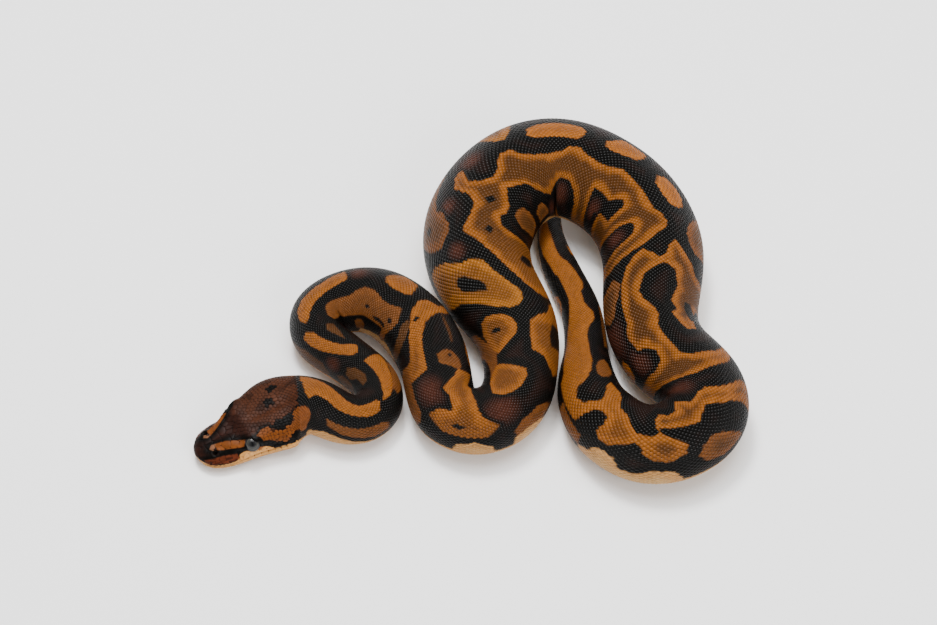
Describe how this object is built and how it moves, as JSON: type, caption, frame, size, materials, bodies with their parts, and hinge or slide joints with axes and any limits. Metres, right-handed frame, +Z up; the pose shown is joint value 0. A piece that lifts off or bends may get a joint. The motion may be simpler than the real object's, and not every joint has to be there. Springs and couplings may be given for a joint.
{
  "type": "coiled ball python model",
  "caption": "Young ball python resting in loose coils, head forward and tail tucked under its own body; a still, life-size display model.",
  "frame": {"origin": "on the floor under the middle of the coil's bounding box", "axes": "+X along the coil's long side, the snout at -X; +Z up from the floor"},
  "size_m": [0.1333, 0.1076, 0.0255],
  "materials": {
    "head_skin": "glossy small scales, dark maroon brown with orange stripes",
    "jaw_skin": "glossy cream lip scales",
    "body_skin": "glossy keelless scales, orange brown blotches on black",
    "tail_skin": "glossy scales, orange stripe between black sides",
    "eye": "wet clear dome over a grey iris"
  },
  "bodies": {
    "root": {"head": "head_skin", "lower_jaw": "jaw_skin", "eye_left": "eye", "eye_right": "eye", "neck": "body_skin", "trunk_1": "body_skin", "trunk_2": "body_skin", "trunk_3": "body_skin", "trunk_4": "body_skin", "trunk_5": "body_skin", "trunk_6": "body_skin", "trunk_7": "body_skin", "trunk_8": "body_skin", "trunk_9": "body_skin", "tail": "tail_skin"}
  },
  "joints": []
}
